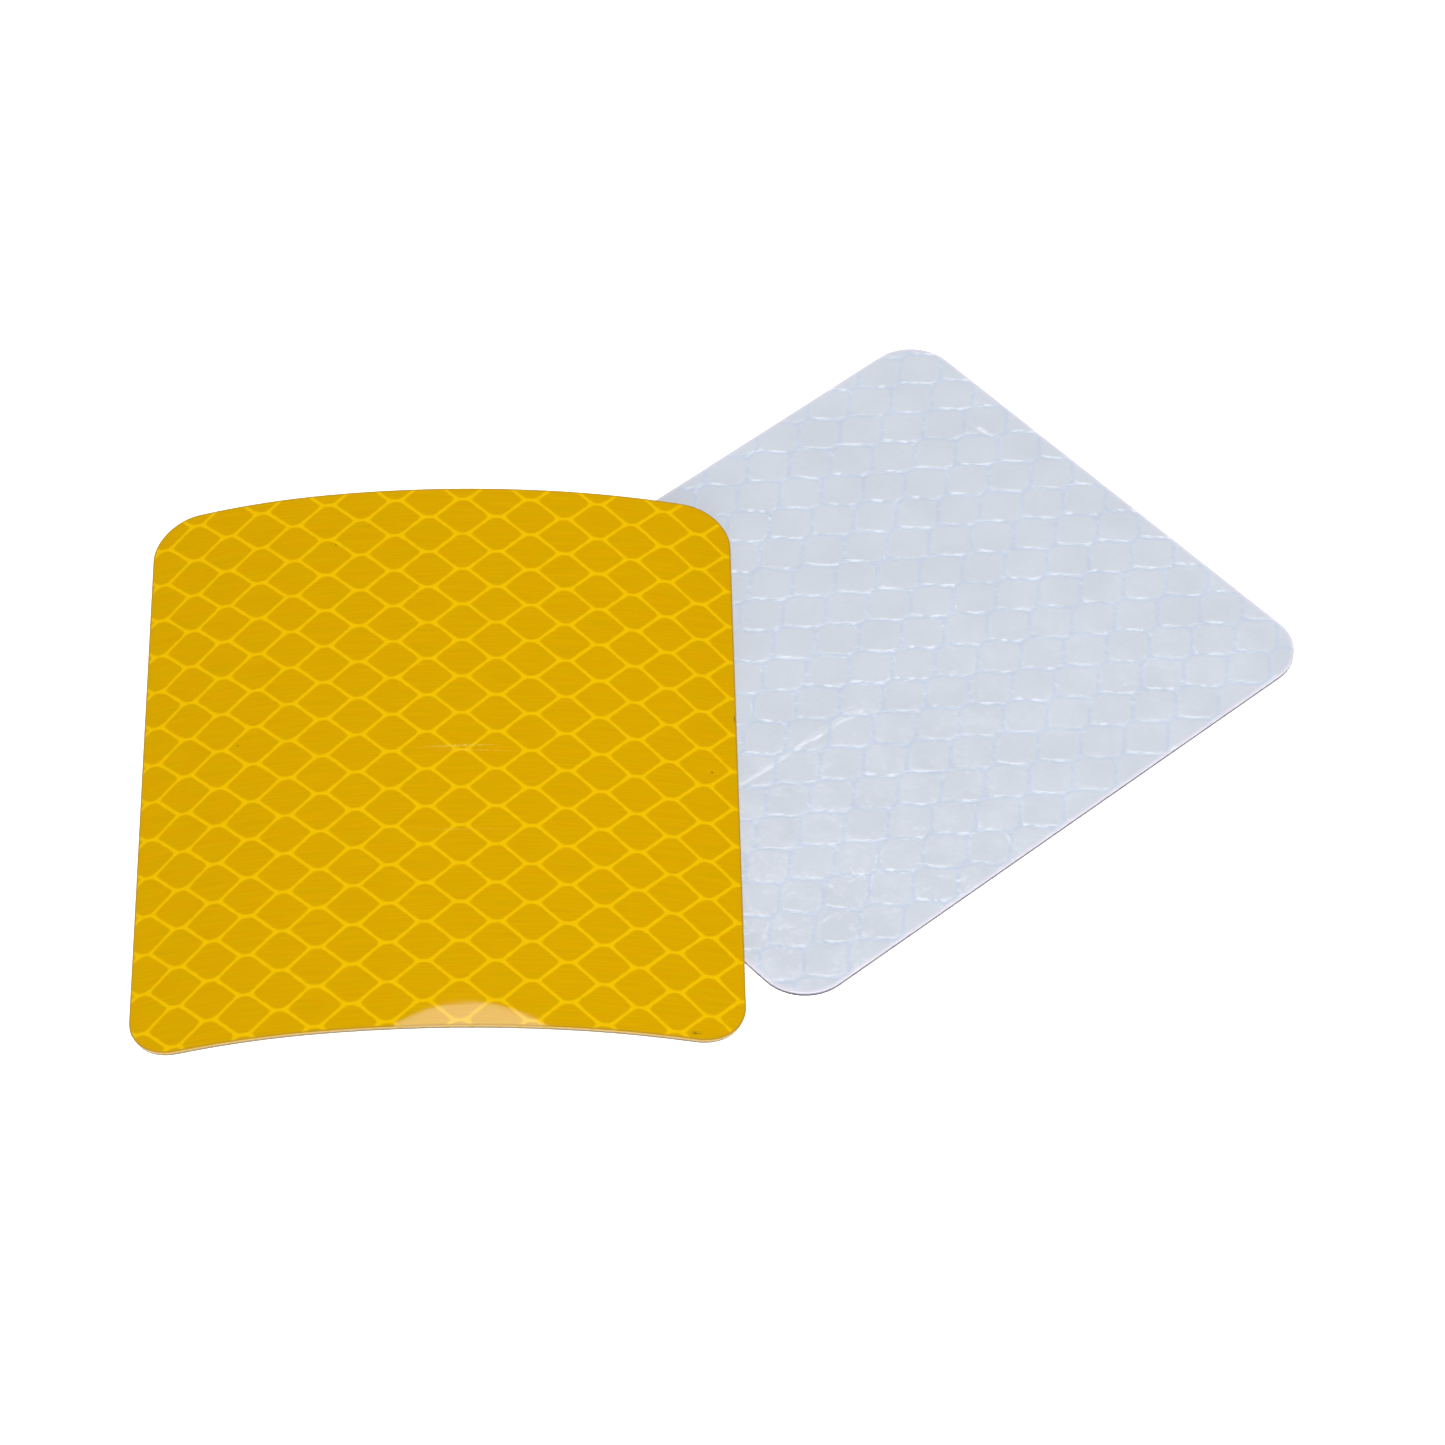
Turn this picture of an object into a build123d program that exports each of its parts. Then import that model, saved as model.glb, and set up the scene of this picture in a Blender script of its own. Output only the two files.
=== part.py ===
from build123d import *
import math
import os

# Two cut patches of honeycomb-sealed prismatic reflective sheeting. The white patch lies flat.
# The yellow patch has sprung into a shallow arch: its left edge stands on the ground and its
# right edge rests on the white patch. Millimetres, +Z up. The origin is on the ground, at the
# middle of the pair's footprint.

# Size of one patch
PATCH_WIDTH = 60.0
PATCH_LENGTH = 70.0
CORNER_RADIUS = 5.0

# Thickness of each layer, from the ground up
LINER_THICKNESS = 0.10
ADHESIVE_THICKNESS = 0.05
SEALING_FILM_THICKNESS = 0.06
LATTICE_THICKNESS = 0.05
PRISM_LAYER_THICKNESS = 0.07
BODY_FILM_THICKNESS = 0.08
COVER_FILM_THICKNESS = 0.06

# Clearance between a liner and the adhesive that peels off it, and between the two patches
RELEASE_GAP = 0.01
RESTING_GAP = 0.02

# Seal lattice: flattened hexagons, one cell being (column step x 2) by (row step)
WHITE_COLUMN_STEP = 3.59
WHITE_ROW_STEP = 5.04
YELLOW_COLUMN_STEP = 3.45
YELLOW_ROW_STEP = 4.85
SEAL_WIDTH = 0.38
FLAT_SHARE = 0.38

# The cell nearest each patch's middle, from that middle: across the columns, along the rows
WHITE_FIRST_CELL = (-0.31, 1.93)
YELLOW_FIRST_CELL = (-1.12, -0.43)

# Where the patches lie: the white patch's middle, and the middle of the yellow patch's chord
WHITE_MIDDLE = (14.21, 4.18)
WHITE_TURN = -48.64
YELLOW_MIDDLE = (-27.85, -12.16)
YELLOW_TURN = 1.40

# The yellow patch's arch, from its left edge: length and radius of each tangent arc of the
# liner's underside
ARCH_ARCS = [(18.0, 74.4), (24.0, 108.8), (18.0, 91.8)]

# Levels of the layers above the surface that the patch lies on
LAYERS = {}
level = 0.0
for layer_name, thickness in [
    ("release_liner", LINER_THICKNESS),
    ("adhesive", ADHESIVE_THICKNESS),
    ("sealing_film", SEALING_FILM_THICKNESS),
    ("seal_lattice", LATTICE_THICKNESS),
    ("prism_layer", PRISM_LAYER_THICKNESS),
    ("body_film", BODY_FILM_THICKNESS),
    ("cover_film", COVER_FILM_THICKNESS),
]:
    LAYERS[layer_name] = (level, level + thickness)
    level += thickness
    if layer_name == "release_liner":
        level += RELEASE_GAP
PATCH_THICKNESS = level


def arch_walk(start_slope, distance):
    """Point (x, z) and slope of the arch's underside, a distance along it from its left edge."""
    x, z, slope = 0.0, 0.0, start_slope
    for length, radius in ARCH_ARCS:
        step = min(length, distance)
        turn = step / radius
        x += radius * (math.sin(slope) - math.sin(slope - turn))
        z += radius * (math.cos(slope - turn) - math.cos(slope))
        slope -= turn
        distance -= step
    return x, z, slope


# The slope at the left edge that brings the right edge down onto the white patch
flat_x, flat_z, _ = arch_walk(0.0, PATCH_WIDTH)
CHORD = math.hypot(flat_x, flat_z)
RIGHT_EDGE_HEIGHT = PATCH_THICKNESS + RESTING_GAP
START_SLOPE = math.asin(RIGHT_EDGE_HEIGHT / CHORD) - math.atan2(flat_z, flat_x)

white_place = Location((*WHITE_MIDDLE, 0), (0, 0, WHITE_TURN))
yellow_place = Location((*YELLOW_MIDDLE, 0), (0, 0, YELLOW_TURN)) * Location((-CHORD / 2, 0, 0))
# Sketch plane of the arch's section: sketch X runs across the arch and sketch Y upwards
section_plane = Plane(yellow_place * Location((0, 0, 0), (90, 0, 0)))


def cell_outline(column_step, row_step):
    """Corners of one lattice cell, longest across the columns, drawn in by half a seal's width."""
    flat = FLAT_SHARE * column_step
    slant_run = column_step - flat
    slant_rise = row_step / 2
    slant = math.hypot(slant_run, slant_rise)
    half_height = row_step / 2 - SEAL_WIDTH / 2
    tip = column_step - flat / 2 - SEAL_WIDTH / 2 * slant / slant_rise
    shoulder = tip - half_height * slant_run / slant_rise
    return [
        (tip, 0), (shoulder, half_height), (-shoulder, half_height),
        (-tip, 0), (-shoulder, -half_height), (shoulder, -half_height),
    ]


def cell_centres(first_cell, column_step, row_step, across, along):
    """Columns of cell centres that reach over a patch: [(column position, [row positions])]."""
    columns = []
    column_count = math.ceil(across / 2 / column_step) + 1
    row_count = math.ceil(along / 2 / row_step) + 1
    for column in range(-column_count, column_count + 1):
        stagger = row_step / 2 * (column % 2)
        rows = [first_cell[1] + stagger + row * row_step for row in range(-row_count, row_count + 1)]
        columns.append((first_cell[0] + column * column_step, rows))
    return columns


def flat_layer(name, with_cells=False):
    """One layer of the white patch."""
    bottom, top = LAYERS[name]
    plane = Plane(white_place * Location((0, 0, bottom)))
    with BuildPart() as layer:
        with BuildSketch(plane):
            RectangleRounded(PATCH_WIDTH, PATCH_LENGTH, CORNER_RADIUS)
            if with_cells:
                columns = cell_centres(
                    WHITE_FIRST_CELL, WHITE_COLUMN_STEP, WHITE_ROW_STEP, PATCH_LENGTH, PATCH_WIDTH
                )
                # the columns follow one another along the white patch's length
                centres = [(row, column) for column, rows in columns for row in rows]
                with Locations(*centres):
                    Polygon(
                        *cell_outline(WHITE_COLUMN_STEP, WHITE_ROW_STEP),
                        rotation=90, mode=Mode.SUBTRACT,
                    )
        extrude(amount=top - bottom)
    return layer


def arch_line(height):
    """Start point, arcs and end of a line at a height above the arch's underside, as JernArc takes them."""
    slope = START_SLOPE
    point = Vector(-height * math.sin(slope), height * math.cos(slope))
    arcs = []
    for length, radius in ARCH_ARCS:
        turn = math.degrees(length / radius)
        tangent = (math.cos(slope), math.sin(slope))
        arc = JernArc(start=point, tangent=tangent, radius=radius + height, arc_size=-turn)
        arcs.append(arc)
        point = arc @ 1
        slope -= math.radians(turn)
    return arcs


def sheet_plane(distance):
    """Plane tangent to the arch's underside, a distance along it; past an edge it goes straight on."""
    on_arch = min(max(distance, 0), PATCH_WIDTH)
    x, z, slope = arch_walk(START_SLOPE, on_arch)
    touching = Location((x, 0, z), (0, -math.degrees(slope), 0))
    return Plane(yellow_place * touching * Location((distance - on_arch, 0, 0)))


def arched_layer(name, with_cells=False):
    """One layer of the yellow patch."""
    bottom, top = LAYERS[name]
    with BuildPart() as layer:
        with BuildSketch(section_plane):
            with BuildLine():
                lower = arch_line(bottom)
                upper = arch_line(top)
                Line(lower[0] @ 0, upper[0] @ 0)
                Line(lower[-1] @ 1, upper[-1] @ 1)
            make_face()
        extrude(amount=PATCH_LENGTH / 2, both=True)
        for distance, inward in [(0, 1), (PATCH_WIDTH, -1)]:
            with BuildSketch(sheet_plane(distance)):
                for end in (-1, 1):
                    arc_middle = (inward * CORNER_RADIUS, end * (PATCH_LENGTH / 2 - CORNER_RADIUS))
                    with Locations(arc_middle):
                        Rectangle(
                            2 * CORNER_RADIUS, 2 * CORNER_RADIUS,
                            align=(
                                Align.MAX if inward == 1 else Align.MIN,
                                Align.MIN if end == 1 else Align.MAX,
                            ),
                        )
                        Circle(CORNER_RADIUS, mode=Mode.SUBTRACT)
            extrude(amount=CORNER_RADIUS / 2, both=True, mode=Mode.SUBTRACT)
        if with_cells:
            columns = cell_centres(
                YELLOW_FIRST_CELL, YELLOW_COLUMN_STEP, YELLOW_ROW_STEP, PATCH_WIDTH, PATCH_LENGTH
            )
            for column, rows in columns:
                with BuildSketch(sheet_plane(PATCH_WIDTH / 2 + column)):
                    with Locations(*[(0, row) for row in rows]):
                        Polygon(*cell_outline(YELLOW_COLUMN_STEP, YELLOW_ROW_STEP))
                extrude(amount=top, both=True, mode=Mode.SUBTRACT)
    return layer


os.makedirs("parts", exist_ok=True)
for name in LAYERS:
    is_lattice = name == "seal_lattice"
    for colour, make_layer in [("white", flat_layer), ("yellow", arched_layer)]:
        layer = make_layer(name, with_cells=is_lattice)
        layer.part.label = f"{colour}_{name}"
        export_step(layer.part, f"parts/{colour}_{name}.step")
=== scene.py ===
import math

import bmesh
import bpy
from bpy.props import FloatProperty, FloatVectorProperty, IntProperty, PointerProperty
from mathutils import Matrix, Vector


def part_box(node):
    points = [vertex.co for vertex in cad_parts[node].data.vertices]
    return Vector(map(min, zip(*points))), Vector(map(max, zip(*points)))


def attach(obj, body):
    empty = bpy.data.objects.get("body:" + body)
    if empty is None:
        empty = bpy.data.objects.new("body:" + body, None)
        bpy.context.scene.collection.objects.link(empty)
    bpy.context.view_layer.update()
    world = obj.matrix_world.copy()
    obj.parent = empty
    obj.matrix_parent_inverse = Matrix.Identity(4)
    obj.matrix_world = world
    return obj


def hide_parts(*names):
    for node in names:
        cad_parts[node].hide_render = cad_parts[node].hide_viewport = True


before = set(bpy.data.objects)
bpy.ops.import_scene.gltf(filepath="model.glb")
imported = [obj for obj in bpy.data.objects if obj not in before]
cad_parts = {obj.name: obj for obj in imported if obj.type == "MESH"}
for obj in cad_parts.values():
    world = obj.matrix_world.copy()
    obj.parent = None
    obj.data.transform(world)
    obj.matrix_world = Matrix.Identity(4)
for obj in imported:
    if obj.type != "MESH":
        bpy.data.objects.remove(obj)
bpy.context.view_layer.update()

bl_info = {
    "name": "Reflective sheeting patches",
    "version": (1, 0, 0),
    "blender": (4, 5, 0),
    "location": "3D View > Sidebar > Sheeting",
    "description": "Builds the looks of two patches of honeycomb-sealed prismatic reflective sheeting",
    "category": "Object",
}

MM = 0.001

# The cut patches, and how far up the laminate the cover film lies
PATCH_WIDTH = 60 * MM
PATCH_LENGTH = 70 * MM
COVER_BOTTOM, COVER_TOP = (corner.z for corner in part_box("white_cover_film"))

# Where the patches lie. The white one's middle is the middle of its box. Its columns of cells
# follow one another along its length, which is turned by WHITE_TURN from +X.
WHITE_TURN = math.radians(41.36)
YELLOW_MIDDLE = (-27.85 * MM, -12.16 * MM)
YELLOW_TURN = math.radians(1.40)

# The yellow patch's arch, from its left edge: length and radius of each tangent arc of its
# underside
ARCH_ARCS = [(18.0 * MM, 74.4 * MM), (24.0 * MM, 108.8 * MM), (18.0 * MM, 91.8 * MM)]
RESTING_GAP = 0.02 * MM
BEND_STRIPS = 30

# The cell nearest each patch's middle, from that middle: across, along
YELLOW_FIRST_CELL = (-1.12 * MM, -0.43 * MM)
WHITE_FIRST_CELL = (-0.31 * MM, -1.93 * MM)

# A cell: the flat side's share of a column step, the rounding of its corners, how finely it is cut,
# and the first distances from the seam that its middle and its other points are given
FLAT_SHARE = 0.32
CELL_ROUNDING = 0.13 * MM
CELL_CUTS = 5
MIDDLE_SHARE = 0.45
LEAST_DISTANCE = 0.02 * MM

# Cutting and merging: tolerances, how far past a corner's centre faces are cut, and the least
# angle of a sharp edge
LEVEL_TOLERANCE = 1e-7
CUT_TOLERANCE = 1e-8
MERGE_DISTANCE = 1e-6
CORNER_REACH = 1 * MM
SHARP_EDGE = math.radians(40)

# Finishes: the acrylic's refraction, the dull prisms beneath it, the marks that are too small to be
# gritty, and how level a polygon is at most to be part of a layer's cut edge
ACRYLIC_IOR = 1.49
FILM_ROUGHNESS = 0.6
SMALLEST_GRITTY_MM = 0.3
EDGE_LEVEL = 0.6

# The studio. The overhead box's far edge is where the yellow film's near edge begins to mirror it.
CAMERA_AIM = (0.247 * MM, -4.828 * MM, COVER_TOP)
SENSOR_WIDTH = 36
CLIP_START = 0.01
FLOOR_HALF = 6.0
FLOOR_DROP = 0.05 * MM
FLOOR_GLOW = 0.6
BOX_SIZE = (0.40, 1.8)
BOX_TURN = math.radians(2.4)
BOX_FAR_EDGE = (0.022, 0.7445, 1.0)
FILL_SIZE = (2.0, 0.7)
FILL_PLACE = (0.0, -1.5, 0.55)
FILL_TILT = math.radians(70)


# ---------------------------------------------------------------- settings

def length_setting(name, description, default_mm):
    """A length, given in millimetres and held in metres."""
    return FloatProperty(
        name=name, description=description, default=default_mm * MM, min=0, precision=5,
        subtype="DISTANCE", unit="LENGTH",
    )


def colour_setting(name, description, default_hex):
    """A colour, given as an sRGB hex colour and held as linear RGBA."""
    return FloatVectorProperty(
        name=name, description=description, default=linear_colour(default_hex), size=4,
        min=0, max=1, subtype="COLOR",
    )


def linear_colour(hex_colour):
    """An sRGB hex colour such as "#d4a902" as the linear RGBA that Blender's sockets hold."""
    channels = [int(hex_colour[i:i + 2], 16) / 255 for i in (1, 3, 5)]
    linear = [c / 12.92 if c <= 0.04045 else ((c + 0.055) / 1.055) ** 2.4 for c in channels]
    return (*linear, 1.0)


class CutSettings(bpy.types.PropertyGroup):
    """How the patches are cut out."""
    corner_radius: length_setting("Corner radius", "Radius of each patch's corners", 5.0)
    corner_steps: IntProperty(
        name="Corner steps", description="Straight cuts that round one corner", default=12, min=3,
    )


class YellowSettings(bpy.types.PropertyGroup):
    """The yellow patch's honeycomb and colours."""
    column_step: length_setting("Column step", "Half a cell's length, between two columns", 3.45)
    row_step: length_setting("Row step", "Height of one cell", 4.85)
    seam_width: length_setting("Seam width", "Width of the seal between two cells", 0.40)
    border_width: length_setting("Border width", "Slope between a seal and the cell's face", 0.25)
    border_rise: length_setting("Border rise", "How far a cell stands above its seal", 0.0)
    cell_colour: colour_setting("Cell colour", "Film over the air cells", "#d0a101")
    seam_colour: colour_setting("Seam colour", "Film fused to the white film below", "#e9bb05")


class WhiteSettings(bpy.types.PropertyGroup):
    """The white patch's honeycomb and colours."""
    column_step: length_setting("Column step", "Half a cell's length, between two columns", 3.59)
    row_step: length_setting("Row step", "Height of one cell", 5.04)
    seam_width: length_setting("Seam width", "Width of the seal between two cells", 0.50)
    border_width: length_setting("Border width", "Slope between a seal and the cell's face", 0.40)
    border_rise: length_setting("Border rise", "How far a cell stands above its seal", 0.0015)
    cell_colour: colour_setting("Cell colour", "Film over the air cells", "#ccd2dc")
    seam_colour: colour_setting("Seam colour", "Film fused to the white film below", "#c5cddb")
    border_colour: colour_setting("Border colour", "Thin shade round each cell", "#c3cddd")


class StudioSettings(bpy.types.PropertyGroup):
    """The camera and the lights."""
    camera_distance: FloatProperty(
        name="Camera distance", description="From the camera to the film along its axis",
        default=0.5904, unit="LENGTH", subtype="DISTANCE",
    )
    camera_elevation: FloatProperty(
        name="Camera elevation", description="Angle of the camera's axis above the ground",
        default=math.radians(48.96), unit="ROTATION", subtype="ANGLE",
    )
    camera_lens: FloatProperty(
        name="Focal length", description="Of the lens, for a 36 mm sensor",
        default=146.6, unit="CAMERA", subtype="DISTANCE_CAMERA",
    )
    floor_colour: colour_setting("Floor colour", "Plain pale floor", "#fbfbfb")
    box_power: FloatProperty(
        name="Overhead box power", description="Power of the soft box above the patches",
        default=13.5, unit="POWER", subtype="POWER",
    )
    fill_power: FloatProperty(
        name="Front fill power", description="Power of the low soft box in front",
        default=12.0, unit="POWER", subtype="POWER",
    )


# ---------------------------------------------------------------- shape

def lattice_cell(bm, look):
    """One cell round the origin, from seam middle to seam middle. For now a point's height is its
    distance from the middle of the seam, so that trimming keeps it exact."""
    flat = FLAT_SHARE * look.column_step / 2
    tip = look.column_step - flat
    shoulder_height = look.row_step / 2
    outline = [
        (tip, 0), (flat, shoulder_height), (-flat, shoulder_height),
        (-tip, 0), (-flat, -shoulder_height), (flat, -shoulder_height),
    ]
    face = bm.faces.new([bm.verts.new((x, y, 0)) for x, y in outline])
    face.normal_update()
    reached = 0.0
    for step in (look.seam_width / 2, look.border_width / 2, look.border_width / 2):
        bmesh.ops.inset_region(
            bm, faces=[face], thickness=step, use_even_offset=True, use_boundary=True,
        )
        reached += step
        for vert in face.verts:
            vert.co.z = reached
    centre = bmesh.ops.poke(bm, faces=[face])["verts"][0]
    centre.co.z = MIDDLE_SHARE * look.row_step
    around = [
        edge for edge in bm.edges
        if centre in edge.verts
        or abs(edge.verts[0].co.z - edge.verts[1].co.z) < LEVEL_TOLERANCE
    ]
    bmesh.ops.subdivide_edges(bm, edges=around, cuts=CELL_CUTS, use_grid_fill=True)
    for vert in bm.verts:
        if vert.co.z > 0:
            vert.co.z = max(rounded_distance(vert.co, outline), LEAST_DISTANCE)


def rounded_distance(point, outline):
    """Distance from a point to the sides of an outline, with its corners rounded."""
    total = 0.0
    for (x0, y0), (x1, y1) in zip(outline, outline[1:] + outline[:1]):
        side = Vector((x1 - x0, y1 - y0)).normalized()
        inward = side.x * (point.y - y0) - side.y * (point.x - x0)
        total += math.exp(-inward / CELL_ROUNDING)
    return -CELL_ROUNDING * math.log(total)


def lay_out_cells(bm, look, first_cell, across, along):
    """Repeats the cell at the origin over a sheet, in columns, every other one half a cell lower."""
    column_pairs = math.ceil(across / look.column_step / 4 + 0.5)
    rows = math.ceil(along / look.row_step / 2 + 0.5)
    start = Vector((
        first_cell[0] - 2 * column_pairs * look.column_step,
        first_cell[1] - rows * look.row_step,
        0,
    ))
    bmesh.ops.translate(bm, verts=bm.verts, vec=start)
    repeats = [
        ((0, look.row_step, 0), 2 * rows),
        ((look.column_step, -look.row_step / 2, 0), 1),
        ((2 * look.column_step, 0, 0), 2 * column_pairs),
    ]
    for step, times in repeats:
        bmesh.ops.spin(
            bm, geom=bm.verts[:] + bm.edges[:] + bm.faces[:], cent=(0, 0, 0), axis=(0, 0, 1),
            dvec=step, angle=0, steps=times, use_duplicate=True,
        )
    bmesh.ops.remove_doubles(bm, verts=bm.verts, dist=MERGE_DISTANCE)


def cut_along(bm, faces, point, outward):
    """Cuts these faces along a line and drops what lies outside it."""
    geom = {piece for face in faces for piece in (face, *face.edges, *face.verts)}
    bmesh.ops.bisect_plane(
        bm, geom=list(geom), dist=CUT_TOLERANCE, plane_co=point, plane_no=outward,
        clear_outer=True,
    )


def trim_to_outline(bm, across, along, cut):
    """Cuts the sheet to its rounded rectangle."""
    for outward, half in [
        (Vector((1, 0, 0)), across / 2), (Vector((-1, 0, 0)), across / 2),
        (Vector((0, 1, 0)), along / 2), (Vector((0, -1, 0)), along / 2),
    ]:
        cut_along(bm, bm.faces, outward * half, outward)
    for quarter in range(4):
        start = quarter * math.pi / 2
        diagonal = start + math.pi / 4
        side = Vector((
            math.copysign(1, math.cos(diagonal)), math.copysign(1, math.sin(diagonal)), 0,
        ))
        middle = Vector((
            side.x * (across / 2 - cut.corner_radius),
            side.y * (along / 2 - cut.corner_radius),
            0,
        ))
        for step in range(cut.corner_steps):
            angle = start + (step + 0.5) / cut.corner_steps * math.pi / 2
            outward = Vector((math.cos(angle), math.sin(angle), 0))
            corner = [
                face for face in bm.faces
                if (face.calc_center_median().x - middle.x) * side.x > -CORNER_REACH
                and (face.calc_center_median().y - middle.y) * side.y > -CORNER_REACH
            ]
            cut_along(bm, corner, middle + outward * cut.corner_radius, outward)


def press_relief(bm, look):
    """Turns each point's distance from the seam into the height of the cover film there."""
    seam_layer = bm.verts.layers.float.new("seam")
    for vert in bm.verts:
        distance = vert.co.z
        vert[seam_layer] = distance / MM
        border = min(max((distance - look.seam_width / 2) / look.border_width, 0.0), 1.0)
        vert.co.z = COVER_TOP + look.border_rise * border * border * (3 - 2 * border)


def close_underneath(bm, across, strips):
    """Gives the film its edge and its flat underside, cut into strips so that it can bend."""
    rim = [edge for edge in bm.edges if edge.is_boundary]
    wall = bmesh.ops.extrude_edge_only(bm, edges=rim)["geom"]
    for vert in (piece for piece in wall if isinstance(piece, bmesh.types.BMVert)):
        vert.co.z = COVER_BOTTOM
    bottom_rim = [edge for edge in bm.edges if edge.is_boundary]
    under = bmesh.ops.contextual_create(bm, geom=bottom_rim)["faces"]
    for strip in range(1, strips):
        geom = {piece for face in under for piece in (face, *face.edges, *face.verts)}
        plane = Vector((across * (strip / strips - 0.5), 0, 0))
        result = bmesh.ops.bisect_plane(
            bm, geom=list(geom), dist=CUT_TOLERANCE, plane_co=plane, plane_no=(1, 0, 0),
        )
        cut = [piece for piece in result["geom"] if isinstance(piece, bmesh.types.BMFace)]
        under = [face for face in cut if face.calc_center_median().x > plane.x]


def arch_walk(start_slope, distance):
    """Point (x, z) and slope of the arch's underside, a distance along it from its left edge."""
    x, z, slope = 0.0, 0.0, start_slope
    for length, radius in ARCH_ARCS:
        step = min(length, distance)
        turn = step / radius
        x += radius * (math.sin(slope) - math.sin(slope - turn))
        z += radius * (math.cos(slope - turn) - math.cos(slope))
        slope -= turn
        distance -= step
    return x, z, slope


def bend_over_arch(bm):
    """Bends the flat sheet over the arch, whose right edge rests on the white patch."""
    flat_x, flat_z, _ = arch_walk(0.0, PATCH_WIDTH)
    chord = math.hypot(flat_x, flat_z)
    start_slope = math.asin((COVER_TOP + RESTING_GAP) / chord) - math.atan2(flat_z, flat_x)
    for vert in bm.verts:
        x, z, slope = arch_walk(start_slope, vert.co.x + PATCH_WIDTH / 2)
        lift = vert.co.z
        vert.co.x = x - chord / 2 - lift * math.sin(slope)
        vert.co.z = z + lift * math.cos(slope)


def keep_sheet_coordinates(bm):
    """Stores each point's place on the flat sheet, in metres, so that patterns follow the film."""
    across = bm.verts.layers.float.new("across")
    along = bm.verts.layers.float.new("along")
    for vert in bm.verts:
        vert[across] = vert.co.x
        vert[along] = vert.co.y


def film_piece(name, bm, place, material):
    """Puts a film where it lies and makes it an object at the origin."""
    bmesh.ops.transform(bm, matrix=place, verts=bm.verts)
    bmesh.ops.recalc_face_normals(bm, faces=bm.faces)
    for face in bm.faces:
        face.smooth = True
    for edge in bm.edges:
        edge.smooth = edge.calc_face_angle(0) <= SHARP_EDGE
    mesh = bpy.data.meshes.new(name)
    bm.to_mesh(mesh)
    bm.free()
    mesh.materials.append(material)
    piece = bpy.data.objects.new(name, mesh)
    bpy.context.scene.collection.objects.link(piece)
    return piece


def cover_film(name, look, cut, first_cell, across, along, bend, place, material):
    """A cover film, pressed over its cells and cut to its outline."""
    bm = bmesh.new()
    lattice_cell(bm, look)
    lay_out_cells(bm, look, first_cell, across, along)
    trim_to_outline(bm, across, along, cut)
    keep_sheet_coordinates(bm)
    press_relief(bm, look)
    close_underneath(bm, across, strips=BEND_STRIPS if bend else 1)
    if bend:
        bend_over_arch(bm)
    return film_piece(name, bm, place, material)


# ---------------------------------------------------------------- materials

def add_node(tree, kind, inputs=None, stops=None, **settings):
    """Adds a node with its settings. Each input is given a value, or is linked where it is given
    another node's output. Stops are the (position, colour) pairs of a colour ramp."""
    node = tree.nodes.new(kind)
    for name, value in settings.items():
        setattr(node, name, value)
    for name, value in (inputs or {}).items():
        if isinstance(value, bpy.types.NodeSocket):
            tree.links.new(value, node.inputs[name])
        else:
            node.inputs[name].default_value = value
    if stops:
        node.color_ramp.interpolation = "EASE"
        while len(node.color_ramp.elements) < len(stops):
            node.color_ramp.elements.new(0.5)
        for element, (position, colour) in zip(node.color_ramp.elements, stops):
            element.position = position
            element.color = colour
    return node


def new_material(name):
    """An empty material, its node tree and its output."""
    material = bpy.data.materials.new(name)
    material.use_nodes = True
    tree = material.node_tree
    tree.nodes.clear()
    return material, tree, add_node(tree, "ShaderNodeOutputMaterial")


def grey(value):
    """A neutral tone as linear RGBA."""
    return (value, value, value, 1)


def sheet_position(tree, size_mm, middle_mm=(0, 0), turn=0):
    """Place on the flat sheet, counted from a middle in units of the given sizes across and along."""
    across = add_node(tree, "ShaderNodeAttribute", attribute_name="across").outputs["Fac"]
    along = add_node(tree, "ShaderNodeAttribute", attribute_name="along").outputs["Fac"]
    flat = add_node(tree, "ShaderNodeCombineXYZ", {"X": across, "Y": along}).outputs[0]
    return add_node(tree, "ShaderNodeMapping", {
        "Vector": flat, "Location": (middle_mm[0] * MM, middle_mm[1] * MM, 0),
        "Rotation": (0, 0, math.radians(turn)), "Scale": (size_mm[0] * MM, size_mm[1] * MM, 1),
    }, vector_type="TEXTURE").outputs[0]


def mottle(tree, size_mm, low, high, turn=0, detail=3.0, roughness=0.5):
    """Noise with a grain of the given size, from black below one level to white above another."""
    noise = add_node(tree, "ShaderNodeTexNoise", {
        "Vector": sheet_position(tree, size_mm, turn=turn), "Scale": 1.0, "Detail": detail,
        "Roughness": roughness,
    }).outputs["Fac"]
    return add_node(tree, "ShaderNodeMapRange", {
        "Value": noise, "From Min": low, "From Max": high,
    }, interpolation_type="SMOOTHSTEP").outputs[0]


def mark(tree, middle_mm, size_mm, turn, grain, strength):
    """A soft elliptic mark on the sheet, strongest in its middle, where it has its full grain."""
    place = sheet_position(tree, size_mm, middle_mm, turn)
    spot = add_node(tree, "ShaderNodeTexGradient", {"Vector": place}, gradient_type="SPHERICAL")
    grainy = add_node(tree, "ShaderNodeMath", {
        0: spot.outputs["Fac"], 1: grain,
    }, operation="MULTIPLY").outputs[0]
    return add_node(tree, "ShaderNodeMath", {0: grainy, 1: strength}, operation="MULTIPLY").outputs[0]


def wavering_seam_distance(tree, grain_mm, amount_mm, detail):
    """Distance from the middle of the seam in millimetres, swaying to and fro by half an amount."""
    distance = add_node(tree, "ShaderNodeAttribute", attribute_name="seam").outputs["Fac"]
    waver = add_node(tree, "ShaderNodeMath", {
        0: mottle(tree, (grain_mm, grain_mm), 0.0, 1.0, detail=detail),
        1: amount_mm, 2: -amount_mm / 2,
    }, operation="MULTIPLY_ADD").outputs[0]
    return add_node(tree, "ShaderNodeMath", {0: distance, 1: waver}, operation="ADD").outputs[0]


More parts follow.
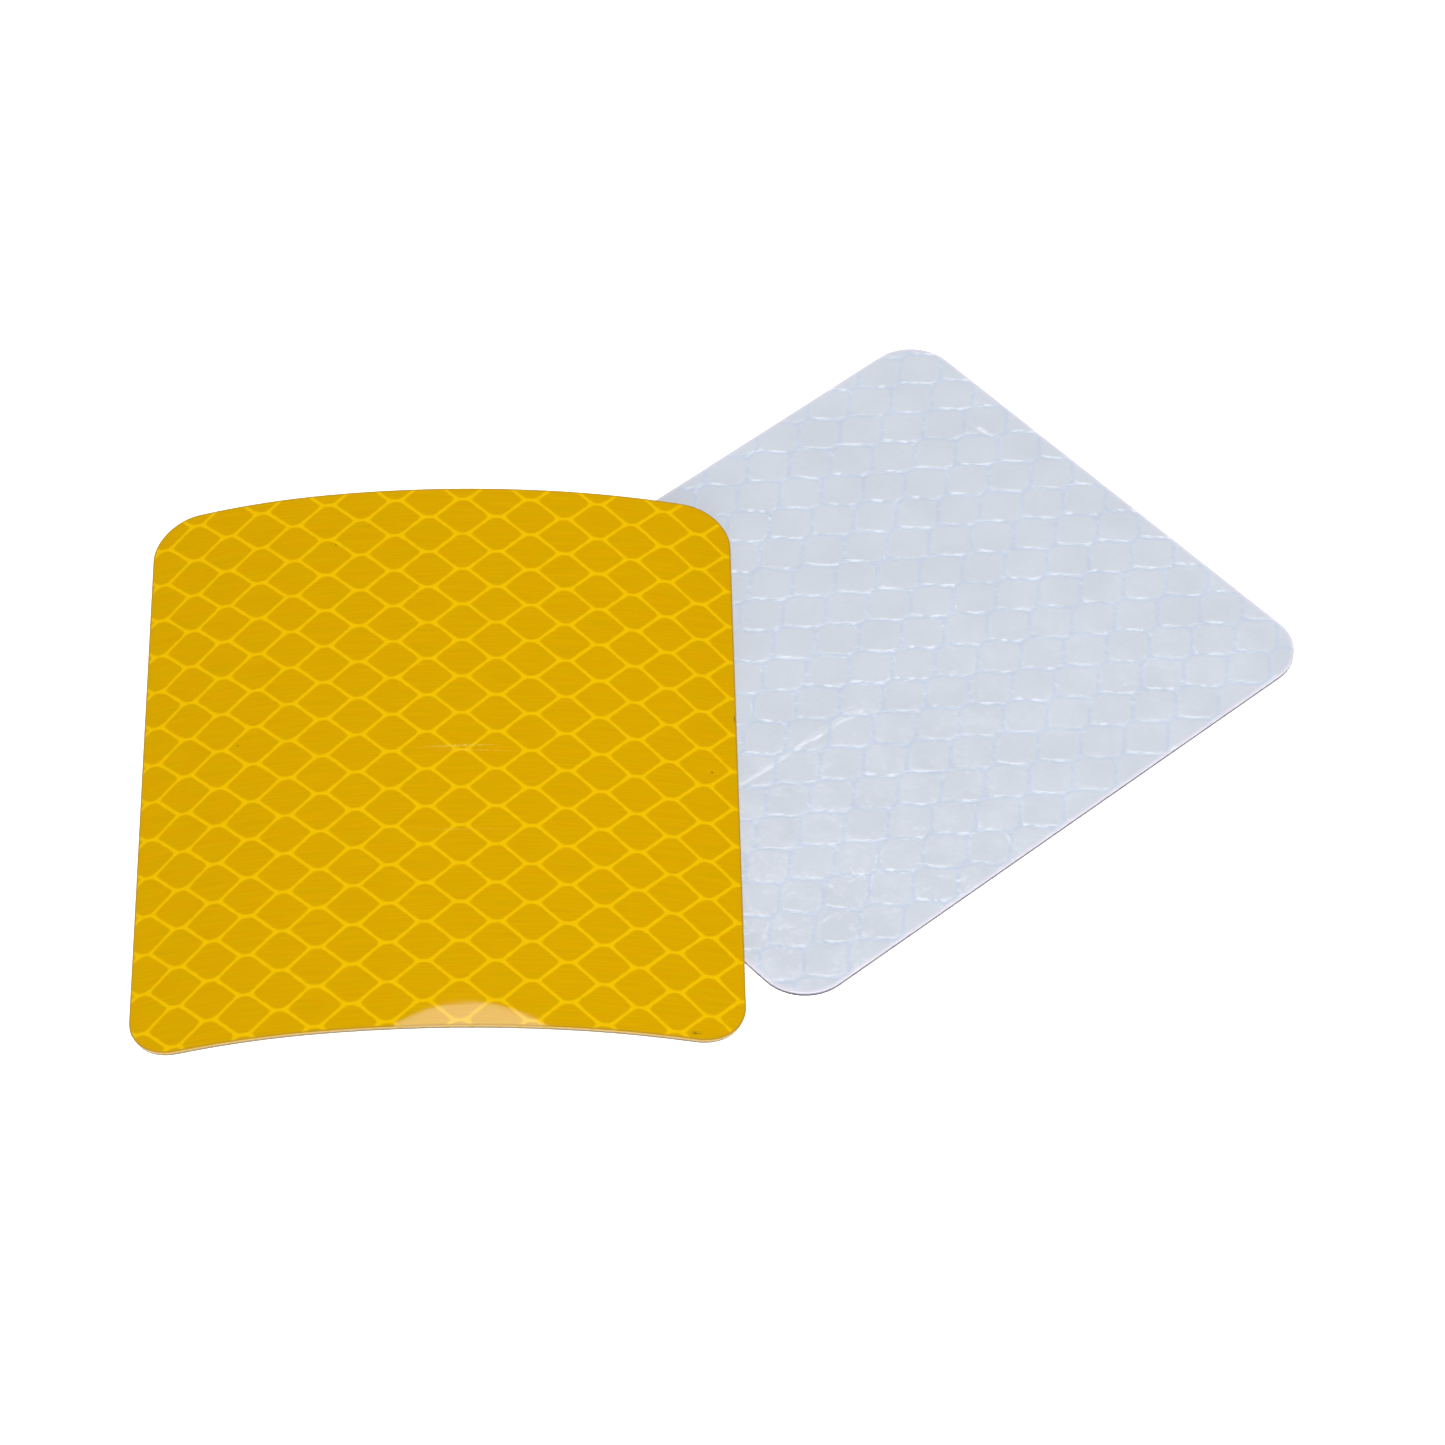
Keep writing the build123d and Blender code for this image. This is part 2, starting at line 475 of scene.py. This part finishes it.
def outline_band(tree, across, along, corner_radius, start_mm, end_mm):
    """0 inside the sheet's outline, rising to 1 between two distances from it."""
    flat = sheet_position(tree, (1, 1))
    half = ((across / 2 - corner_radius) / MM, (along / 2 - corner_radius) / MM, 0)
    folded = add_node(tree, "ShaderNodeVectorMath", {0: flat}, operation="ABSOLUTE").outputs[0]
    beyond = add_node(tree, "ShaderNodeVectorMath", {
        0: folded, 1: half,
    }, operation="SUBTRACT").outputs[0]
    beyond = add_node(tree, "ShaderNodeVectorMath", {
        0: beyond, 1: (0, 0, 0),
    }, operation="MAXIMUM").outputs[0]
    away = add_node(tree, "ShaderNodeVectorMath", {0: beyond}, operation="LENGTH").outputs["Value"]
    return add_node(tree, "ShaderNodeMapRange", {
        "Value": away,
        "From Min": corner_radius / MM - start_mm,
        "From Max": corner_radius / MM - end_mm,
    }).outputs[0]


def varied(tree, colour, pattern, low, high):
    """A colour multiplied by a tone that runs from one tint to another with a pattern."""
    tone = add_node(tree, "ShaderNodeMix", {
        0: pattern, 6: low, 7: high,
    }, data_type="RGBA").outputs[2]
    return add_node(tree, "ShaderNodeMix", {
        0: 1.0, 6: colour, 7: tone,
    }, data_type="RGBA", blend_type="MULTIPLY").outputs[2]


def covered(tree, colour, covers):
    """A colour with tints laid over it, one after another, each as far as its cover reaches."""
    for cover, tint in covers:
        colour = add_node(tree, "ShaderNodeMix", {
            0: cover, 6: colour, 7: tint,
        }, data_type="RGBA").outputs[2]
    return colour


def glossy_film(tree, output, colour, height, unit_height, coat, coat_roughness):
    """A dull film under a clear coat, with the relief on the coat only."""
    bump = add_node(tree, "ShaderNodeBump", {
        "Height": height, "Strength": 1.0, "Distance": unit_height,
    })
    film = add_node(tree, "ShaderNodeBsdfPrincipled", {
        "Base Color": colour, "Roughness": FILM_ROUGHNESS, "IOR": ACRYLIC_IOR,
        "Specular IOR Level": 0.0, "Coat Weight": coat, "Coat Roughness": coat_roughness,
        "Coat IOR": ACRYLIC_IOR, "Coat Normal": bump.outputs[0],
    })
    tree.links.new(film.outputs[0], output.inputs["Surface"])


def yellow_cover_material(look, cut):
    """Transparent yellow acrylic over moulded prisms, rolled smooth and flat, so that it mirrors
    sharply. It is brighter where it is fused to the white film below, and faintly streaked by the
    rollers."""
    material, tree, output = new_material("yellow prismatic acrylic film")
    half_seam = look.seam_width / 2 / MM
    edge = wavering_seam_distance(tree, 0.9, 0.16, detail=3.0)
    seam = add_node(tree, "ShaderNodeValToRGB", {"Fac": edge}, stops=[
        (half_seam * 0.3, grey(1)), (half_seam * 1.3, grey(0)),
    ]).outputs["Color"]
    cell = varied(
        tree, tuple(look.cell_colour), mottle(tree, (5.0, 0.2), 0.3, 0.7), grey(0.96), grey(1.04),
    )
    cell = varied(
        tree, cell, mottle(tree, (4.0, 1.5), 0.35, 0.75), grey(1.0), (1.05, 0.965, 1.0, 1),
    )
    # scuffs and specks: middle, size, turn, strength and tint; the pale scuffs are scratches whose
    # # glint is painted in as part of their paler tint
    pale, dark = linear_colour("#efc84a"), linear_colour("#7d5f10")
    grit = mottle(tree, (0.5, 0.12), 0.42, 0.6)
    marks = []
    for middle, size, turn, strength, tint in [
        ((2.0, 0.1), (4.6, 0.22), 2, 1.0, pale),
        ((3.5, -0.5), (5.5, 0.15), -1, 0.6, pale),
        ((2.0, -10.7), (8.0, 0.12), 0, 0.5, pale),
        ((25.0, -34.2), (0.7, 0.3), 10, 1.3, dark),
        ((29.8, 6.6), (0.10, 0.6), 0, 1.4, dark),
        ((27.3, -1.0), (0.16, 0.16), 0, 1.4, dark),
        ((-20.0, 2.3), (0.14, 0.14), 0, 1.2, dark),
        ((-10.6, 27.9), (0.14, 0.14), 0, 1.2, dark),
    ]:
        grain = grit if size[0] > SMALLEST_GRITTY_MM else 1.0
        marks.append((mark(tree, middle, size, turn, grain, strength), tint))
    edge_line = outline_band(tree, PATCH_WIDTH, PATCH_LENGTH, cut.corner_radius, 0.22, 0.06)
    colour = covered(tree, cell, [
        (seam, tuple(look.seam_colour)), *marks, (edge_line, linear_colour("#b08a2c")),
    ])
    streaks = mottle(tree, (1.5, 0.3), 0.2, 0.8)
    glossy_film(tree, output, colour, streaks, 0.00006 * MM, coat=0.56, coat_roughness=0.012)
    return material


def white_cover_material(look, cut):
    """Clear acrylic film over silvery white prisms, heat-sealed, so that it puckers beside the
    seals. It is pale blue-grey, with a thin shade round each cell and short glints on the puckers."""
    material, tree, output = new_material("white prismatic film under clear acrylic")
    half_seam = look.seam_width / 2 / MM
    edge = wavering_seam_distance(tree, 0.45, 0.25, detail=4.0)
    colour = add_node(tree, "ShaderNodeValToRGB", {"Fac": edge}, stops=[
        (0.0, tuple(look.seam_colour)), (half_seam * 0.2, tuple(look.border_colour)),
        (half_seam * 0.5, tuple(look.border_colour)), (half_seam * 1.2, tuple(look.cell_colour)),
    ]).outputs["Color"]
    colour = varied(tree, colour, mottle(tree, (7.0, 7.0), 0.3, 0.7), grey(0.97), grey(1.02))
    prisms = mottle(tree, (0.15, 0.7), 0.3, 0.7, turn=49)
    colour = varied(tree, colour, prisms, grey(0.985), grey(1.015))
    # a thin paler line just inside the outline: painted highlight along the cut rim of the film
    edge_line = outline_band(tree, PATCH_LENGTH, PATCH_WIDTH, cut.corner_radius, 0.40, 0.15)
    colour = covered(tree, colour, [(edge_line, linear_colour("#d9d7e4"))])

    # heights are in millimetres; each seal is a groove, deep here and shallow there, and its far
    # side is what glints
    groove = add_node(tree, "ShaderNodeMapRange", {
        "Value": edge, "From Min": 0.0, "From Max": 0.36, "To Min": -0.07, "To Max": 0.0,
    }).outputs[0]
    grooves = add_node(tree, "ShaderNodeMath", {
        0: groove, 1: mottle(tree, (1.1, 0.8), 0.43, 0.57),
    }, operation="MULTIPLY").outputs[0]
    # thin folds run with the columns, in patches, and grow towards the near side
    fold = add_node(tree, "ShaderNodeValToRGB", {
        "Fac": mottle(tree, (1.2, 0.5), 0.2, 0.8, turn=8, roughness=0.6),
    }, stops=[(0.38, grey(0)), (0.5, grey(1)), (0.62, grey(0))]).outputs["Color"]
    folds = add_node(tree, "ShaderNodeMath", {
        0: fold, 1: mottle(tree, (3.0, 3.0), 0.48, 0.56),
    }, operation="MULTIPLY").outputs[0]
    fold_height = add_node(tree, "ShaderNodeMapRange", {
        "Value": add_node(tree, "ShaderNodeAttribute", attribute_name="along").outputs["Fac"],
        "From Min": -2 * MM, "From Max": -20 * MM, "To Min": 0.0, "To Max": 0.018,
    }).outputs[0]
    height = add_node(tree, "ShaderNodeMath", {
        0: folds, 1: fold_height, 2: grooves,
    }, operation="MULTIPLY_ADD").outputs[0]
    # a long crease in three parts and a short one: middle, size, turn and height
    for middle, size, turn, rise in [
        ((-16.2, -4.75), (5.0, 0.5), 0, 0.08),
        ((-9.5, -4.9), (3.4, 0.6), -2, 0.08),
        ((-5.8, -5.0), (1.8, 0.8), -6, 0.08),
        ((31.1, 15.2), (0.5, 1.9), 6, 0.09),
    ]:
        crease = mark(tree, middle, size, turn, mottle(tree, (0.9, 0.3), 0.3, 0.6), rise)
        height = add_node(tree, "ShaderNodeMath", {0: height, 1: crease}, operation="ADD").outputs[0]
    glossy_film(tree, output, colour, height, MM, coat=0.9, coat_roughness=0.03)
    return material


def layer_material(name, hex_colour, roughness, grain_mm, contrast, bump_strength):
    """A film or paper layer with a mottled tone: its grain size in millimetres, contrast and relief."""
    material, tree, output = new_material(name)
    place = add_node(tree, "ShaderNodeTexCoord").outputs["Object"]
    grain = add_node(tree, "ShaderNodeTexNoise", {
        "Vector": place, "Scale": 1 / (grain_mm * MM), "Detail": 5.0, "Roughness": 0.6,
    }).outputs["Fac"]
    colour = varied(
        tree, linear_colour(hex_colour), grain, grey(1 - contrast), grey(1 + contrast),
    )
    bump = add_node(tree, "ShaderNodeBump", {
        "Height": grain, "Strength": bump_strength, "Distance": 0.05 * MM,
    })
    surface = add_node(tree, "ShaderNodeBsdfPrincipled", {
        "Base Color": colour, "Roughness": roughness, "Normal": bump.outputs[0],
    })
    tree.links.new(surface.outputs[0], output.inputs["Surface"])
    return material


# ---------------------------------------------------------------- operators

class SHEETING_OT_yellow_cover(bpy.types.Operator):
    """Make the yellow patch's cover film"""
    bl_idname = "sheeting.yellow_cover"
    bl_label = "Yellow cover film"

    def execute(self, context):
        look, cut = context.scene.sheeting_yellow, context.scene.sheeting_cut
        place = Matrix.Translation((*YELLOW_MIDDLE, 0)) @ Matrix.Rotation(YELLOW_TURN, 4, "Z")
        piece = cover_film(
            "yellow_film_face", look, cut, YELLOW_FIRST_CELL,
            PATCH_WIDTH, PATCH_LENGTH, True, place, yellow_cover_material(look, cut),
        )
        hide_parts("yellow_cover_film")
        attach(piece, "yellow_patch")
        return {"FINISHED"}


class SHEETING_OT_white_cover(bpy.types.Operator):
    """Make the white patch's cover film"""
    bl_idname = "sheeting.white_cover"
    bl_label = "White cover film"

    def execute(self, context):
        look, cut = context.scene.sheeting_white, context.scene.sheeting_cut
        low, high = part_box("white_cover_film")
        middle = (low + high) / 2
        place = Matrix.Translation((middle.x, middle.y, 0)) @ Matrix.Rotation(WHITE_TURN, 4, "Z")
        piece = cover_film(
            "white_film_face", look, cut, WHITE_FIRST_CELL,
            PATCH_LENGTH, PATCH_WIDTH, False, place, white_cover_material(look, cut),
        )
        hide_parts("white_cover_film")
        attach(piece, "white_patch")
        return {"FINISHED"}


class SHEETING_OT_layers(bpy.types.Operator):
    """Give the inner layers and the liners their materials"""
    bl_idname = "sheeting.layers"
    bl_label = "Inner layers and liners"

    def execute(self, context):
        # real material; its face, then its cut edge in the white and in the yellow patch, darker than
        # the face as painted shade on the side walls, and yellow-brown in the yellow patch; roughness,
        # grain in millimetres, contrast and relief
        finishes = {
            "release_liner": (
                "silicone-coated paper", "#dcd8d0", "#453c4a", "#7d6a3c", 0.55, 0.25, 0.05, 0.5,
            ),
            "adhesive": ("acrylic adhesive", "#d2cfcb", "#352e3c", "#6f5c34", 0.25, 1.5, 0.06, 0.3),
            "sealing_film": ("polyester film", "#e4e4e8", "#4a4352", "#86703a", 0.4, 0.8, 0.02, 0.1),
            "seal_lattice": ("fused seal", "#dcdce4", "#5a5566", "#b98f10", 0.4, 0.3, 0.03, 0.1),
            "prism_layer": ("moulded prisms", "#cfd2dc", "#7a7888", "#c49a0a", 0.3, 0.2, 0.05, 0.3),
            "body_film": (
                "polycarbonate film", "#d5d8e2", "#c9cad8", "#c99c04", 0.3, 0.8, 0.02, 0.1,
            ),
        }
        for layer, (real_name, face, white_shaded_edge, yellow_shaded_edge, *finish) in finishes.items():
            for patch, edge in (("white", white_shaded_edge), ("yellow", yellow_shaded_edge)):
                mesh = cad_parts[f"{patch}_{layer}"].data
                mesh.materials.clear()
                # the second material is a darker copy for the cut edge: painted shade on the side walls
                for name, colour in ((real_name, face), (f"cut edge of {real_name}", edge)):
                    mesh.materials.append(
                        layer_material(f"{name}, {patch} patch", colour, *finish)
                    )
                for polygon in mesh.polygons:
                    polygon.material_index = int(abs(polygon.normal.z) < EDGE_LEVEL)
        return {"FINISHED"}


class SHEETING_OT_studio(bpy.types.Operator):
    """Set up the floor, the soft boxes and the camera"""
    bl_idname = "sheeting.studio"
    bl_label = "Studio"

    def execute(self, context):
        studio = context.scene.sheeting_studio
        self.make_camera(context, studio)
        self.make_floor(context, studio)
        self.make_lights(context, studio)
        context.scene.view_settings.view_transform = "Standard"
        return {"FINISHED"}

    def make_camera(self, context, studio):
        camera = bpy.data.cameras.new("camera")
        camera.lens = studio.camera_lens
        camera.sensor_width = SENSOR_WIDTH
        camera.clip_start = CLIP_START
        holder = bpy.data.objects.new("camera", camera)
        elevation = studio.camera_elevation
        back = Vector((0, -math.cos(elevation), math.sin(elevation)))
        holder.location = Vector(CAMERA_AIM) + back * studio.camera_distance
        holder.rotation_euler = (math.pi / 2 - elevation, 0, 0)
        context.scene.collection.objects.link(holder)
        context.scene.camera = holder

    def make_floor(self, context, studio):
        bm = bmesh.new()
        bmesh.ops.create_grid(bm, x_segments=1, y_segments=1, size=FLOOR_HALF)
        mesh = bpy.data.meshes.new("floor")
        bm.to_mesh(mesh)
        bm.free()
        material, tree, output = new_material("opal acrylic board lit from below")
        surface = add_node(tree, "ShaderNodeBsdfPrincipled", {
            "Base Color": tuple(studio.floor_colour), "Roughness": 0.9, "Specular IOR Level": 0.1,
            "Emission Color": tuple(studio.floor_colour), "Emission Strength": FLOOR_GLOW,
        })
        tree.links.new(surface.outputs[0], output.inputs["Surface"])
        mesh.materials.append(material)
        floor = bpy.data.objects.new("floor", mesh)
        floor.location.z = -FLOOR_DROP
        context.scene.collection.objects.link(floor)

    def make_lights(self, context, studio):
        to_middle = Matrix.Rotation(BOX_TURN, 3, "Z") @ Vector((0, BOX_SIZE[1] / 2, 0))
        for name, size, power, place, rotation in [
            (
                "overhead soft box", BOX_SIZE, studio.box_power,
                Vector(BOX_FAR_EDGE) - to_middle, (0, 0, BOX_TURN),
            ),
            ("front fill", FILL_SIZE, studio.fill_power, FILL_PLACE, (FILL_TILT, 0, 0)),
        ]:
            light = bpy.data.lights.new(name, "AREA")
            light.shape = "RECTANGLE"
            light.size, light.size_y = size
            light.energy = power
            holder = bpy.data.objects.new(name, light)
            holder.location = place
            holder.rotation_euler = rotation
            context.scene.collection.objects.link(holder)
        world = bpy.data.worlds.new("studio")
        context.scene.world = world
        world.use_nodes = True
        tree = world.node_tree
        tree.nodes.clear()
        direction = add_node(tree, "ShaderNodeTexCoord").outputs["Generated"]
        height_part = add_node(tree, "ShaderNodeSeparateXYZ", {0: direction}).outputs["Z"]
        glow = add_node(tree, "ShaderNodeValToRGB", {"Fac": height_part}, stops=[
            (0.15, grey(0.9)), (0.45, grey(0.01)),
        ]).outputs["Color"]
        background = add_node(tree, "ShaderNodeBackground", {"Color": glow, "Strength": 1.0})
        output = add_node(tree, "ShaderNodeOutputWorld")
        tree.links.new(background.outputs[0], output.inputs["Surface"])


class SHEETING_PT_panel(bpy.types.Panel):
    """Lists the steps that build the patches"""
    bl_idname = "SHEETING_PT_panel"
    bl_label = "Reflective sheeting"
    bl_space_type = "VIEW_3D"
    bl_region_type = "UI"
    bl_category = "Sheeting"

    def draw(self, context):
        for operator in STEPS:
            self.layout.operator(operator.bl_idname)


GROUPS = {
    "sheeting_cut": CutSettings,
    "sheeting_yellow": YellowSettings,
    "sheeting_white": WhiteSettings,
    "sheeting_studio": StudioSettings,
}
STEPS = [
    SHEETING_OT_studio,
    SHEETING_OT_yellow_cover,
    SHEETING_OT_white_cover,
    SHEETING_OT_layers,
]


def register():
    for group in (*GROUPS.values(), *STEPS, SHEETING_PT_panel):
        bpy.utils.register_class(group)
    for name, group in GROUPS.items():
        setattr(bpy.types.Scene, name, PointerProperty(type=group))


def unregister():
    for name in GROUPS:
        delattr(bpy.types.Scene, name)
    for group in (SHEETING_PT_panel, *STEPS, *GROUPS.values()):
        bpy.utils.unregister_class(group)


def main():
    register()
    bpy.ops.sheeting.studio()
    bpy.ops.sheeting.yellow_cover()
    bpy.ops.sheeting.white_cover()
    bpy.ops.sheeting.layers()


if __name__ == "__main__":
    main()
